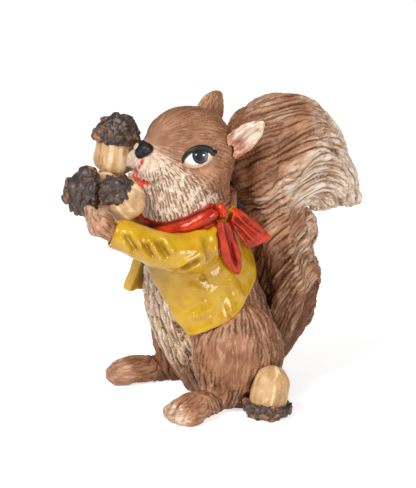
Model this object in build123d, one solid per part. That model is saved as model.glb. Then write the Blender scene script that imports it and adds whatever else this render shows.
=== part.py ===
from build123d import *
from math import cos, pi, radians, sin
import os

# Seated squirrel figurine in cast resin: it wears a jacket and a neckerchief, hugs three acorns
# to its mouth, and a fourth acorn stands on its cap beside the left haunch.
# Millimetres, +Z up. The squirrel faces -Y and its left side is +X. The origin lies on the ground,
# under the torso's flat underside. Each casting is glued to its neighbours at a fitted seat:
# a piece is cut by its neighbour's form grown by the glue gap.

# Seats
GLUE_GAP = 0.15

# Torso: oval rings from the flat underside up to the neck, with a spigot that enters the head
BASE_HALF_WIDTH = 11.5
BASE_HALF_DEPTH = 10.5
BASE_SETBACK = 3.0
HIP_HEIGHT = 10.0
HIP_HALF_WIDTH = 14.5
HIP_HALF_DEPTH = 14.5
HIP_SETBACK = 1.0
BELLY_HEIGHT = 24.0
BELLY_HALF_WIDTH = 16.0
BELLY_HALF_DEPTH = 16.5
BELLY_LEAN = 2.5
CHEST_HEIGHT = 39.0
CHEST_HALF_WIDTH = 13.5
CHEST_HALF_DEPTH = 14.0
CHEST_LEAN = 6.0
NECK_HEIGHT = 53.0
NECK_RADIUS = 12.4
NECK_LEAN = 6.6
NECK_TILT = 27.0
SPIGOT_LENGTH = 6.0
SPIGOT_RADIUS = 6.5
BELLY_TUFTS = 18
BELLY_TUFT_HEIGHT = 1.0

# Haunches and hind feet
HAUNCH_HALF_WIDTH = 8.0
HAUNCH_HALF_DEPTH = 13.0
HAUNCH_HALF_HEIGHT = 14.6
HAUNCH_CENTRE_HEIGHT = 14.2
HAUNCH_SINK = 2.0
FOOT_LENGTH = 24.0
FOOT_SPLAY = 20.0
FOOT_HEEL_OFFSET = 12.0
RIGHT_FOOT_ADVANCE = 2.4
HEEL_HALF_WIDTH = 4.2
BALL_HALF_WIDTH = 5.6
FOOT_HEIGHT = 7.4
TOE_COUNT = 4
TOE_RADIUS = 2.1
TOE_LENGTH = 7.0
OUTER_TOE_SETBACK = 1.2

# Tail: a stem that climbs the back, then a plume that fans about a notch and curls backwards
TAIL_STEM_HALF_WIDTH = 11.0
TAIL_STEM_HALF_DEPTH = 9.5
TAIL_PLUME_HALF_WIDTH = 11.5
TAIL_NOTCH_SETBACK = 26.5
TAIL_NOTCH_HEIGHT = 48.5
TAIL_NOTCH_RADIUS = 2.5
TAIL_PLUME_REACH = 33.5
TAIL_LOCKS = 9
TAIL_LOCK_HEIGHT = 1.4

# Head, in its own level frame before it is tipped: +Z up, snout along -Y
HEAD_RISE = 13.0
HEAD_LEAN = 1.4
HEAD_PITCH = 16.0
HEAD_YAW = 6.0
HEAD_ROLL = 6.0
HEAD_HALF_WIDTH = 14.0
HEAD_HALF_HEIGHT = 14.6
SKULL_BACK = 9.5
MUZZLE_REACH = 15.2
MUZZLE_DROP = 3.0
RUFF_RADIUS = 12.3
RUFF_RISE = 4.0
WHISKER_PAD_RADIUS = 3.9
WHISKER_PAD_SPREAD = 3.2
CHIN_RADIUS = 3.8
MOUTH_WIDTH = 6.4
MOUTH_HEIGHT = 1.9
MOUTH_DEPTH = 3.0
EYE_RADIUS = 4.6
EYE_THICKNESS = 3.0
EYE_SPREAD = 12.35
EYE_FORWARD = 5.7
EYE_RISE = 3.7
EYE_TOE_OUT = 28.0
EYE_TILT = 8.0
NOSE_RADIUS = 2.3
NOSE_RISE = 0.9
NOSE_PROUD = 0.2
EAR_LENGTH = 12.5
EAR_HALF_WIDTH = 4.4
EAR_HALF_THICKNESS = 2.5
EAR_SPREAD = 9.6
EAR_SETBACK = 3.6
EAR_RISE = 7.0
EAR_WAY = (0.34, 0.42, 0.84)
EAR_FACING = (0.95, -0.2, 0.1)
RIGHT_EAR_SHIFT = 2.5

# Jacket, sleeves and forepaws; an arm's points run from the shoulder by elbow, forearm and cuff
# to the palm, and are measured from the middle of the neck
JACKET_WALL = 1.7
JACKET_FLARE = 1.2
JACKET_SKIRT_DROP = 10.0
HEM_FRONT_HEIGHT = 21.5
HEM_SIDE_HEIGHT = 28.0
HEM_BACK_HEIGHT = 46.0
HEM_FRONT_LEAN = 32.0
HEM_SIDE_LEAN = 4.5
HEM_BACK_SETBACK = 13.0
HEM_SLANT = 0.16
OPENING_TOP_HEIGHT = 48.0
OPENING_TOP_OFFSET = -5.0
OPENING_FOOT_DROP = 4.5
LEFT_EDGE_OFFSET = 16.0
RIGHT_EDGE_OFFSET = -13.0
FLAP_TOP = (-4.5, -20.5, 41.5)
FLAP_CORNER = (-8.0, -23.4, 29.6)
FLAP_BACK = (-15.5, -14.5, 27.5)
FLAP_THICKNESS = 1.5
SLEEVE_SHOULDER_RADIUS = 6.4
SLEEVE_ELBOW_RADIUS = 5.3
SLEEVE_CUFF_RADIUS = 4.1
LEFT_ARM = [
    (10.0, -2.4, -5.5),
    (14.2, -10.9, -8.0),
    (11.0, -19.4, -5.0),
    (8.0, -26.9, -2.0),
    (6.3, -30.2, 0.8),
]
RIGHT_ARM = [
    (-10.0, -2.4, -5.5),
    (-14.4, -8.9, -7.5),
    (-14.4, -13.9, -3.5),
    (-12.8, -17.2, 1.3),
    (-11.2, -18.8, 5.2),
]
WRIST_RADIUS = 2.8
WRIST_LENGTH = 7.0
PALM_RADIUS = 4.1
FINGER_COUNT = 3
FINGER_RADIUS = 1.35
FINGER_LENGTH = 5.6

# Neckerchief; the stations of its ends are measured from the middle of the neck
BAND_RADIUS = 14.3
BAND_RISE = 1.5
BAND_ROLL_RADIUS = 2.0
KNOT_RADIUS = 2.5
KNOT_LENGTH = 6.4
KNOT_TURN = 8.0
KNOT_PROUD = 0.6
KERCHIEF_END_HALF_WIDTH = 3.6
KERCHIEF_END_HALF_THICKNESS = 1.2

# Acorns; those that are hugged are placed from the middle of the neck
NUT_RADIUS = 4.8
NUT_LENGTH = 9.5
NUT_SEAT_DEPTH = 2.5
CAP_RADIUS = 6.3
CAP_RIM_DROP = 1.2
CAP_RIM_HEIGHT = 2.4
CAP_RIM_LIP = 0.35
SMALL_ACORN_SCALE = 0.87

LEFT, RIGHT = 1, -1
SIDES = ((LEFT, "left"), (RIGHT, "right"))
FAR = 200.0


def oval(plane, half_x, half_y, tufts=0, tuft_height=0.0):
    """A closed smooth oval face that starts on the plane's +X, with that many low ridges round it."""
    points = max(8, 2 * tufts)
    outline = []
    for i in range(points):
        angle = 2 * pi * i / points
        ridge = tuft_height / 2 * cos(tufts * angle)
        outline.append(((half_x + ridge) * cos(angle), (half_y + ridge) * sin(angle)))
    return plane * make_face(Spline(outline, periodic=True))


def across(point, direction, x_dir=(1, 0, 0)):
    """A plane at a point, square to a direction."""
    way = Vector(*direction).normalized()
    side = Vector(*x_dir)
    return Plane(origin=point, x_dir=side - way * side.dot(way), z_dir=way)


def level(y, z):
    """A level plane at that setback and height."""
    return across((0, y, z), (0, 0, 1))


def chain(rings, stride):
    """Smooth lofts that each run that many rings on from the last one's end, sewn into one solid."""
    skins = []
    for start in range(0, len(rings) - 1, stride):
        span = loft(rings[start : start + stride + 1])
        skins += [face for face in span.faces() if face.geom_type != GeomType.PLANE]
    return Solid(Shell(skins + [rings[0].face(), rings[-1].face()]))


def ellipsoid(half_x, half_y, half_z):
    """An ellipsoid about the origin."""
    return scale(Sphere(1), by=(half_x, half_y, half_z))


def capsule(radius, length):
    """A round-ended rod about Z, of that whole length."""
    half = length / 2 - radius
    end = CenterArc((0, half), radius, 0, 90)
    start = CenterArc((0, -half), radius, -90, 90)
    side = Line((radius, -half), (radius, half))
    middle = Line((0, half + radius), (0, -half - radius))
    return revolve(Plane.XZ * make_face([start, side, end, middle]), Axis.Z)


def above_ground(shape):
    """The part of a shape over the ground plane."""
    return shape - Pos(0, 0, -FAR / 2) * Box(FAR, FAR, FAR)


# Torso

NECK_AXIS = Vector(0, -sin(radians(NECK_TILT)), cos(radians(NECK_TILT)))
NECK_CENTRE = Vector(0, -NECK_LEAN, NECK_HEIGHT)
NECK_PLANE = across(NECK_CENTRE, NECK_AXIS)


def torso_form(grow=0.0):
    """The torso's swelling trunk with tufted fur below the jacket, and the neck spigot on top."""
    neck = across(NECK_CENTRE + NECK_AXIS * grow, NECK_AXIS)
    stations = [
        (level(BASE_SETBACK, 0), BASE_HALF_WIDTH, BASE_HALF_DEPTH, 0.5),
        (level(HIP_SETBACK, HIP_HEIGHT), HIP_HALF_WIDTH, HIP_HALF_DEPTH, 1.0),
        (level(-BELLY_LEAN, BELLY_HEIGHT), BELLY_HALF_WIDTH, BELLY_HALF_DEPTH, 1.0),
        (level(-CHEST_LEAN, CHEST_HEIGHT), CHEST_HALF_WIDTH, CHEST_HALF_DEPTH, 0.0),
        (neck, NECK_RADIUS, NECK_RADIUS, 0.0),
    ]
    rings = []
    for plane, half_width, half_depth, tuft_share in stations:
        tuft_height = BELLY_TUFT_HEIGHT * tuft_share
        rings.append(oval(plane, half_width + grow, half_depth + grow, BELLY_TUFTS, tuft_height))
    trunk = loft(rings)
    spigot = Cylinder(SPIGOT_RADIUS + grow, 2 * (SPIGOT_LENGTH + grow))
    return trunk + NECK_PLANE * spigot


# Haunches and feet


def haunch_form(side, grow=0.0):
    """The thigh's rounded mass on one side of the torso."""
    centre = Pos(side * (BELLY_HALF_WIDTH - HAUNCH_SINK), 0, HAUNCH_CENTRE_HEIGHT)
    halves = (HAUNCH_HALF_WIDTH, HAUNCH_HALF_DEPTH, HAUNCH_HALF_HEIGHT)
    return centre * ellipsoid(*[half + grow for half in halves])


def foot_form(side):
    """A long splayed hind foot with a row of toes, cut flat on the ground."""
    # Rings: share of the length, half width and share of the height
    stations = [
        (0.0, HEEL_HALF_WIDTH, 1.0),
        (0.45, HEEL_HALF_WIDTH, 1.0),
        (0.78, BALL_HALF_WIDTH, 0.92),
        (0.92, BALL_HALF_WIDTH * 0.8, 0.7),
    ]
    rings = []
    for share, half_width, height_share in stations:
        half_height = FOOT_HEIGHT * height_share / 2
        plane = across((0, -share * FOOT_LENGTH, half_height * 0.9), (0, -1, 0))
        rings.append(oval(plane, half_width, half_height))
    foot = loft(rings)
    spread = BALL_HALF_WIDTH - TOE_RADIUS * 0.8
    for i in range(TOE_COUNT):
        place = 2 * i / (TOE_COUNT - 1) - 1
        tip = -FOOT_LENGTH + TOE_LENGTH / 2 + OUTER_TOE_SETBACK * place * place
        toe = Pos(place * spread, tip, TOE_RADIUS) * Rot(90, 0, 0)
        foot += toe * capsule(TOE_RADIUS, TOE_LENGTH)
    advance = RIGHT_FOOT_ADVANCE if side == RIGHT else 0
    heel = Pos(side * FOOT_HEEL_OFFSET, -advance, 0)
    return above_ground(heel * Rot(0, 0, side * FOOT_SPLAY) * foot)


# Tail


def plume_ring(angle, reach, half_width, lock_height):
    """An oval with locks that stands on the notch and reaches out at an angle above +Y."""
    way = Vector(0, cos(radians(angle)), sin(radians(angle)))
    half_reach = (reach - TAIL_NOTCH_RADIUS) / 2
    notch = Vector(0, TAIL_NOTCH_SETBACK, TAIL_NOTCH_HEIGHT)
    centre = notch + way * (TAIL_NOTCH_RADIUS + half_reach)
    plane = across(centre, way.cross(Vector(1, 0, 0)))
    return oval(plane, half_width, half_reach, TAIL_LOCKS, lock_height)


def tail_form():
    """The bushy tail in long locks: a stem up the back, then a plume fanned about the notch."""
    # Stem rings: setback, height, climb, and shares of the width and depth
    stem = [
        (9.0, 6.5, 48.0, 0.55, 0.5),
        (17.2, 17.0, 64.0, 0.86, 0.8),
        (20.3, 31.0, 86.0, 1.0, 1.0),
    ]
    # Plume rings: angle, and shares of the reach and width
    fan = [
        (192.0, 0.54, 0.98),
        (168.0, 0.57, 1.0),
        (146.0, 0.71, 1.0),
        (124.0, 0.93, 1.0),
        (102.0, 1.0, 1.0),
        (80.0, 0.87, 0.95),
        (62.0, 0.72, 0.85),
        (46.0, 0.6, 0.72),
        (30.0, 0.52, 0.57),
        (14.0, 0.47, 0.4),
    ]
    rings = []
    for setback, height, climb, width_share, depth_share in stem:
        plane = across((0, setback, height), (0, cos(radians(climb)), sin(radians(climb))))
        half_width = TAIL_STEM_HALF_WIDTH * width_share
        half_depth = TAIL_STEM_HALF_DEPTH * depth_share
        rings.append(oval(plane, half_width, half_depth, TAIL_LOCKS, TAIL_LOCK_HEIGHT * width_share))
    for angle, reach_share, width_share in fan:
        half_width = TAIL_PLUME_HALF_WIDTH * width_share
        lock_height = TAIL_LOCK_HEIGHT * width_share
        rings.append(plume_ring(angle, TAIL_PLUME_REACH * reach_share, half_width, lock_height))
    return chain(rings, 2)


# Head

HEAD_CENTRE = NECK_CENTRE + Vector(0, -HEAD_LEAN, HEAD_RISE)
HEAD_PLACE = Location(HEAD_CENTRE, (-HEAD_PITCH, HEAD_ROLL, HEAD_YAW))


def skull_form(grow=0.0):
    """The skull and muzzle as rings along the snout, with whisker pads, a chin and a neck ruff."""
    # Rings: setback, shares of the half width and height, and rise
    stations = [
        (SKULL_BACK + grow, 0.34, 0.34, 0.8),
        (SKULL_BACK * 0.72, 0.78, 0.78, 0.5),
        (SKULL_BACK * 0.25, 0.98, 0.98, 0.0),
        (-MUZZLE_REACH * 0.2, 0.98, 0.99, -0.3),
        (-MUZZLE_REACH * 0.54, 0.77, 0.84, -MUZZLE_DROP * 0.5),
        (-MUZZLE_REACH * 0.82, 0.46, 0.55, -MUZZLE_DROP * 0.9),
        (-MUZZLE_REACH - grow, 0.22, 0.28, -MUZZLE_DROP),
    ]
    rings = []
    for y, width_share, height_share, z in stations:
        plane = across((0, y, z), (0, -1, 0))
        half_width = HEAD_HALF_WIDTH * width_share + grow
        half_height = HEAD_HALF_HEIGHT * height_share + grow
        rings.append(oval(plane, half_width, half_height))
    skull = chain(rings, 3)
    pad_y = -MUZZLE_REACH + WHISKER_PAD_RADIUS * 0.7
    pad_z = -MUZZLE_DROP - WHISKER_PAD_RADIUS * 0.1
    for side, _ in SIDES:
        skull += Pos(side * WHISKER_PAD_SPREAD, pad_y, pad_z) * Sphere(WHISKER_PAD_RADIUS + grow)
    chin = Pos(0, -MUZZLE_REACH + CHIN_RADIUS * 1.2, -MUZZLE_DROP - WHISKER_PAD_RADIUS * 1.35)
    skull += chin * Sphere(CHIN_RADIUS + grow)
    ruff = Pos(*(NECK_CENTRE + NECK_AXIS * RUFF_RISE)) * Sphere(RUFF_RADIUS + grow)
    return HEAD_PLACE * skull + ruff


def eye_form(side, grow=0.0):
    """A shallow domed eye let into the side of the face."""
    facing = Rot(0, 0, -side * EYE_TOE_OUT) * Rot(0, -side * EYE_TILT, 0)
    place = Pos(side * EYE_SPREAD, -EYE_FORWARD, EYE_RISE) * facing * Rot(0, side * 90, 0)
    dome = Pos(0, 0, -EYE_RADIUS) * Sphere(EYE_RADIUS + grow)
    behind = Pos(0, 0, -EYE_THICKNESS - grow - FAR / 2) * Box(FAR, FAR, FAR)
    return HEAD_PLACE * place * (dome - behind)


def nose_form(grow=0.0):
    """The nose pad."""
    return HEAD_PLACE * Pos(0, -MUZZLE_REACH - NOSE_PROUD, NOSE_RISE) * Sphere(NOSE_RADIUS + grow)


def mouth_form():
    """The slot of the open mouth, between the whisker pads and the chin."""
    place = Pos(0, -MUZZLE_REACH + MOUTH_DEPTH, -MUZZLE_DROP - WHISKER_PAD_RADIUS * 0.98)
    return HEAD_PLACE * place * extrude(Plane.XZ * SlotOverall(MOUTH_WIDTH, MOUTH_HEIGHT), amount=FAR)


def ear_form(side):
    """A pointed leaf of an ear with a scooped inner face."""
    mirrored = [Vector(side * x, y, z) for x, y, z in (EAR_WAY, EAR_FACING)]
    way, facing = mirrored[0].normalized(), mirrored[1]
    facing = (facing - way * facing.dot(way)).normalized()
    breadth = facing.cross(way)
    setback = EAR_SETBACK + (RIGHT_EAR_SHIFT if side == RIGHT else 0)
    root = Vector(side * EAR_SPREAD, setback, EAR_RISE)
    # Rings: shares of the length, half width and half thickness
    stations = [
        (-0.2, 0.7, 0.9),
        (0.3, 1.0, 1.0),
        (0.7, 0.82, 0.7),
        (1.0, 0.16, 0.2),
    ]
    rings = []
    for share, width_share, thickness_share in stations:
        plane = Plane(origin=root + way * EAR_LENGTH * share, x_dir=breadth, z_dir=way)
        rings.append(oval(plane, EAR_HALF_WIDTH * width_share, EAR_HALF_THICKNESS * thickness_share))
    middle = root + way * EAR_LENGTH * 0.48 + facing * EAR_HALF_THICKNESS * 1.3
    scoop = capsule(EAR_HALF_WIDTH * 0.68, EAR_LENGTH * 0.86)
    scoop = Plane(origin=middle, x_dir=breadth, z_dir=way) * scoop
    return HEAD_PLACE * (loft(rings) - scoop)


# Jacket, sleeves and forepaws


def jacket_form(grow=0.0):
    """The jacket's outside before its hem and front opening are cut."""
    wall = JACKET_WALL + grow
    hem = wall + JACKET_FLARE
    skirt_height = BELLY_HEIGHT - JACKET_SKIRT_DROP
    rings = [
        (level(-BELLY_LEAN, skirt_height), BELLY_HALF_WIDTH + hem, BELLY_HALF_DEPTH + hem),
        (level(-BELLY_LEAN, BELLY_HEIGHT), BELLY_HALF_WIDTH + wall, BELLY_HALF_DEPTH + wall),
        (level(-CHEST_LEAN, CHEST_HEIGHT), CHEST_HALF_WIDTH + wall, CHEST_HALF_DEPTH + wall),
        (NECK_PLANE, NECK_RADIUS + wall, NECK_RADIUS + wall),
    ]
    return loft([oval(plane, a, b) for plane, a, b in rings])


def hem_cut():
    """Everything below the hem line, which sweeps up from the front to the back."""
    front = (-HEM_FRONT_LEAN, HEM_FRONT_HEIGHT)
    back = (HEM_BACK_SETBACK, HEM_BACK_HEIGHT)
    line = ThreePointArc(front, (-HEM_SIDE_LEAN, HEM_SIDE_HEIGHT), back)
    rest = Polyline(back, (FAR, HEM_BACK_HEIGHT), (FAR, -FAR), (-HEM_FRONT_LEAN, -FAR), front)
    below = Plane.YZ * make_face([line, rest])
    return extrude(below, amount=FAR / 2, dir=(1, 0, -HEM_SLANT), both=True)


def opening_cut():
    """The wedge between the jacket's two front edges."""
    foot = HEM_FRONT_HEIGHT - OPENING_FOOT_DROP
    wedge = Polyline(
        (OPENING_TOP_OFFSET, OPENING_TOP_HEIGHT),
        (LEFT_EDGE_OFFSET, foot),
        (RIGHT_EDGE_OFFSET, foot),
        close=True,
    )
    return extrude(Plane.XZ * make_face(wedge), amount=FAR)


def flap_form():
    """The right front corner of the jacket, which stands off the belly."""
    sheet = Face(Wire.make_polygon([FLAP_TOP, FLAP_CORNER, FLAP_BACK], close=True))
    return extrude(sheet, amount=FLAP_THICKNESS, both=True)


def arm_path(side):
    """The middle of the sleeve at the shoulder, elbow, forearm and cuff, then of the palm."""
    offsets = LEFT_ARM if side == LEFT else RIGHT_ARM
    return [NECK_CENTRE + Vector(*offset) for offset in offsets]


def sleeve_form(side, grow=0.0):
    """A bent sleeve from the shoulder to the cuff."""
    points = arm_path(side)
    forearm_radius = (SLEEVE_ELBOW_RADIUS + SLEEVE_CUFF_RADIUS) / 2
    radii = [SLEEVE_SHOULDER_RADIUS, SLEEVE_ELBOW_RADIUS, forearm_radius, SLEEVE_CUFF_RADIUS]
    rings = []
    for i, radius in enumerate(radii):
        way = points[i + 1] - points[max(i - 1, 0)]
        rings.append(oval(across(points[i], way), radius + grow, radius + grow))
    return loft(rings)


def paw_form(side, grow=0.0):
    """A forepaw: a wrist inside the cuff, a rounded palm and short fingers."""
    *_, forearm, cuff, palm = arm_path(side)
    way = (palm - forearm).normalized()
    paw = across(cuff, way) * Cylinder(WRIST_RADIUS + grow, WRIST_LENGTH + 2 * grow)
    paw += across(palm, way) * Sphere(PALM_RADIUS + grow)
    for i in range(FINGER_COUNT):
        spread = i - (FINGER_COUNT - 1) / 2
        tip = palm + Vector(spread * FINGER_RADIUS * 1.8, -PALM_RADIUS * 0.62, PALM_RADIUS * 0.62)
        finger = capsule(FINGER_RADIUS + grow, FINGER_LENGTH + 2 * grow)
        paw += across(tip, (0.15 * spread, -0.1, 1.0)) * finger
    return paw


# Neckerchief

BAND_PLANE = across(NECK_CENTRE + NECK_AXIS * BAND_RISE, NECK_AXIS)


def band_form(grow=0.0):
    """The rolled cloth ring round the neck."""
    return BAND_PLANE * Torus(BAND_RADIUS, BAND_ROLL_RADIUS + grow)


def knot_form(grow=0.0):
    """The knot on the left of the band."""
    place = Rot(0, 0, KNOT_TURN) * Pos(BAND_RADIUS + KNOT_PROUD, 0, 0)
    return BAND_PLANE * place * capsule(KNOT_RADIUS + grow, KNOT_LENGTH + 2 * grow)


def ribbon(stations):
    """A flat cloth end through stations, each a place, a way, and shares of the width and thickness."""
    rings = []
    for offset, way, width_share, thickness_share in stations:
        way = Vector(*way).normalized()
        breadth = way.cross(Vector(1, 0, 0))
        plane = Plane(origin=NECK_CENTRE + Vector(*offset), x_dir=breadth, z_dir=way)
        half_width = KERCHIEF_END_HALF_WIDTH * width_share
        half_thickness = KERCHIEF_END_HALF_THICKNESS * thickness_share
        rings.append(oval(plane, half_width, half_thickness))
    return loft(rings)


def lower_end_form():
    """The end that hangs down the side of the jacket."""
    return ribbon([
        ((15.4, 1.0, 1.0), (0.05, 0.1, -1.0), 0.42, 1.2),
        ((16.2, 1.8, -4.5), (0.05, 0.2, -1.0), 0.74, 1.0),
        ((16.6, 3.4, -10.0), (0.0, 0.3, -1.0), 0.72, 0.9),
        ((16.4, 5.4, -15.0), (-0.05, 0.35, -1.0), 0.16, 0.6),
    ])


def upper_end_form():
    """The end that flies back over the shoulder and flares at its cut edge."""
    return ribbon([
        ((15.2, 2.0, 3.2), (0.0, 0.8, -0.6), 0.4, 1.2),
        ((15.4, 5.2, 0.2), (0.0, 0.75, -0.65), 0.62, 1.0),
        ((15.0, 9.2, -4.1), (0.0, 0.6, -0.8), 0.92, 0.8),
        ((14.4, 12.6, -8.0), (0.0, 0.25, -0.97), 1.1, 0.5),
    ])


# Acorns

# Each acorn: the middle of its rim, the way its cap points, its size
ACORNS = {
    "upper_acorn": (NECK_CENTRE + Vector(-9.8, -17.8, 19.1), (0.05, 0.12, 1.0), 0.95),
    "near_acorn": (NECK_CENTRE + Vector(5.7, -24.7, 8.4), (0.3, -0.68, 0.68), SMALL_ACORN_SCALE),
    "front_acorn": (NECK_CENTRE + Vector(-5.0, -28.7, 6.2), (0.1, -0.95, 0.15), 0.97),
    "ground_acorn": (Vector(23.3, 4.2, 3.4), (0.1, -0.25, -1.0), 1.0),
}


def acorn_place(name):
    """The plane of an acorn's rim, with +Z out through its cap."""
    rim, way, _ = ACORNS[name]
    return across(rim, way)


def nut_form(name, grow=0.0):
    """A nut with a straight shoulder in its cap and a round tip."""
    size = ACORNS[name][2]
    radius, length, seat = [size * d + grow for d in (NUT_RADIUS, NUT_LENGTH, NUT_SEAT_DEPTH)]
    tip = CenterArc((0, radius - length), radius, -90, 90)
    side = Polyline((radius, radius - length), (radius, seat), (0, seat), (0, -length))
    return acorn_place(name) * revolve(Plane.XZ * make_face([tip, side]), Axis.Z)


def cap_form(name, grow=0.0):
    """A domed cap with a thicker rim."""
    size = ACORNS[name][2]
    radius, drop = CAP_RADIUS * size + grow, CAP_RIM_DROP * size + grow
    below = Pos(0, 0, -drop - FAR / 2) * Box(FAR, FAR, FAR)
    rim_height = CAP_RIM_HEIGHT * size + 2 * grow
    rim = Pos(0, 0, -drop + rim_height / 2) * Cylinder(radius + CAP_RIM_LIP * size, rim_height)
    return acorn_place(name) * (Sphere(radius) - below + rim)


# Assembly: each piece less the seats of the pieces it is glued to


def less(shape, seats):
    """A shape with every one of those seats cut into it."""
    for seat in seats:
        shape -= seat
    return shape


torso_seat = torso_form(GLUE_GAP)
skull_seat = skull_form(GLUE_GAP)
jacket_seat = jacket_form(GLUE_GAP)
coat_seat = jacket_seat - hem_cut()
band_seat = band_form(GLUE_GAP)
knot_seat = knot_form(GLUE_GAP)
haunch_seats = [haunch_form(side, GLUE_GAP) for side, _ in SIDES]
acorn_seats = {name: [nut_form(name, GLUE_GAP), cap_form(name, GLUE_GAP)] for name in ACORNS}

PARTS = {"torso": torso_form() - band_seat}
for side, name in SIDES:
    haunch = above_ground(haunch_form(side))
    PARTS[f"{name}_haunch"] = less(haunch, [torso_seat, coat_seat] + acorn_seats["ground_acorn"])
    PARTS[f"{name}_hind_foot"] = less(foot_form(side), [torso_seat] + haunch_seats)
tail_seats = [torso_seat, coat_seat, skull_seat, band_seat] + haunch_seats
PARTS["tail"] = less(above_ground(tail_form()), tail_seats)

face = [mouth_form(), nose_form(GLUE_GAP)]
for side, name in SIDES:
    face.append(eye_form(side, GLUE_GAP))
    PARTS[f"{name}_eye"] = eye_form(side)
    PARTS[f"{name}_ear"] = ear_form(side) - skull_seat
PARTS["head"] = less(skull_form(), face + [torso_seat, band_seat])
PARTS["nose"] = nose_form()

jacket = jacket_form() - hem_cut() - opening_cut() + flap_form()
PARTS["jacket"] = less(jacket, [torso_seat, band_seat, knot_seat])
for side, name in SIDES:
    sleeve_seats = [jacket_seat, band_seat, paw_form(side, GLUE_GAP)]
    PARTS[f"{name}_sleeve"] = less(sleeve_form(side), sleeve_seats)
PARTS["neckerchief_band"] = band_form() - knot_seat
PARTS["neckerchief_knot"] = knot_form()
cloth_seats = [knot_seat, band_seat, jacket_seat, sleeve_form(LEFT, GLUE_GAP)]
PARTS["neckerchief_lower_end"] = less(lower_end_form(), cloth_seats)
PARTS["neckerchief_upper_end"] = less(upper_end_form(), cloth_seats)

placed = []
for name in ACORNS:
    nut_seat = nut_form(name, GLUE_GAP)
    PARTS[f"{name}_nut"] = above_ground(less(nut_form(name), placed))
    PARTS[f"{name}_cap"] = above_ground(less(cap_form(name), [nut_seat] + placed))
    placed += acorn_seats[name]
for side, name in SIDES:
    PARTS[f"{name}_forepaw"] = less(paw_form(side), placed)

os.makedirs("parts", exist_ok=True)
for name, shape in PARTS.items():
    body = max(shape.solids(), key=lambda solid: solid.volume)
    export_step(body, f"parts/{name}.step")
    print(name, body.is_valid, round(body.volume, 2))
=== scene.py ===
"""Painted resin squirrel figurine: carved fur, folded cloth, acorns and painted eyes on the CAD frame."""

import math

import bpy
import numpy as np
import openvdb
from mathutils import Euler, Matrix, Vector
from mathutils.kdtree import KDTree


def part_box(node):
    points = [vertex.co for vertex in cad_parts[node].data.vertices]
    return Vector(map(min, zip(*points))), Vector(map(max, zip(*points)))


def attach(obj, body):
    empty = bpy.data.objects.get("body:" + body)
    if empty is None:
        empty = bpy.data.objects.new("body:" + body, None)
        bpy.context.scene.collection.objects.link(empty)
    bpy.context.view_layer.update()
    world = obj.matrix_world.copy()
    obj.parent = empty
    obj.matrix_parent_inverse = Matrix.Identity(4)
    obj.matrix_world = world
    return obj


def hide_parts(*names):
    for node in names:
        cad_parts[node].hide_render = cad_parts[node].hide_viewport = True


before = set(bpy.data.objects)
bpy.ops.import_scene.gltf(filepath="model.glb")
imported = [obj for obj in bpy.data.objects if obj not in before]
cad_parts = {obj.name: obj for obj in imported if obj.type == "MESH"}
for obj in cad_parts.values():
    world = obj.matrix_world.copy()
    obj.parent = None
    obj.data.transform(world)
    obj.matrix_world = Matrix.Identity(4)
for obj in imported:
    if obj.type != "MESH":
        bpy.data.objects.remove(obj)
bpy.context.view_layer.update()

# Shapes are worked out in millimetres and turned into metres when a piece is made.
MM = 0.001

# Distances are kept within this many voxels of a surface, and forms that aren't blended meet this sharply.
BAND_VOXELS = 14
SHARP = 0.01

# Fur is followed in steps of this length. A stroke cut down to less than this share of its length is
# left out, and none runs where the fur is thinner than this.
STREAK_STEP = 0.4
SHORTEST_STROKE = 0.35
LEAST_FUR = 0.3

# Random fields are sums of this many sine waves.
WAVES = 9

# The head's place and turn, as in the CAD model: +X is the squirrel's left, the snout points along -Y.
HEAD_SEAT = np.array([0.0, -8.0, 66.0])
HEAD_PITCH, HEAD_ROLL, HEAD_YAW = -16.0, 6.0, 6.0

# The tail's plume fans about this notch, in Y and Z; its lower strands sweep round a point further back,
# which is this much further from them than the notch is.
TAIL_NOTCH = (26.5, 48.5)
TAIL_SWEEP = (45.0, 8.0)
SWEEP_OFFSET = 44.1

# The neckerchief's band lies square to the neck; a second roll lies on it, this many voxels up.
NECK_CENTRE = np.array([0.0, -6.6, 53.0])
NECK_TILT = 27.0
BAND_RISE = 1.5
BAND_RADIUS = 14.3
BAND_LIFT_VOXELS = 5

# Each acorn: the middle of its rim, the way its cap points, its size.
ACORNS = {
    "upper_acorn": ((-9.8, -24.4, 72.1), (0.05, 0.12, 1.0), 0.95),
    "near_acorn": ((5.7, -31.3, 61.4), (0.3, -0.68, 0.68), 0.87),
    "front_acorn": ((-5.0, -35.3, 59.2), (0.1, -0.95, 0.15), 0.97),
    "ground_acorn": ((23.3, 4.2, 3.4), (0.1, -0.25, -1.0), 1.0),
}


# Small helpers


def ease(start, end, value):
    """0 before start, 1 after end, smooth between; start may be the larger."""
    t = np.clip((value - start) / (end - start), 0, 1)
    return t * t * (3 - 2 * t)


def unit(vectors):
    """Vectors of length one."""
    return vectors / np.maximum(np.linalg.norm(vectors, axis=-1, keepdims=True), 1e-9)


def turn(axis, degrees):
    """A rotation about X, Y or Z."""
    return np.array(Matrix.Rotation(math.radians(degrees), 3, axis))


HEAD_TURN = turn("X", HEAD_PITCH) @ turn("Y", HEAD_ROLL) @ turn("Z", HEAD_YAW)


def to_head(points):
    """Points in the head's own level frame."""
    return (points - HEAD_SEAT) @ HEAD_TURN


def from_head(points):
    """Points of the head's own level frame, in the figurine's frame."""
    return np.asarray(points, float) @ HEAD_TURN.T + HEAD_SEAT


def wobble(points, wavelength, seed):
    """A gentle random field between about -1 and 1, from a handful of sine waves."""
    rng = np.random.default_rng(seed)
    ways = unit(rng.standard_normal((WAVES, 3)))
    waves = ways * (2 * math.pi / wavelength) * rng.uniform(0.6, 1.4, (WAVES, 1))
    return np.sin(points @ waves.T + rng.uniform(0, 2 * math.pi, WAVES)).sum(1) / 4.0


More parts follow.
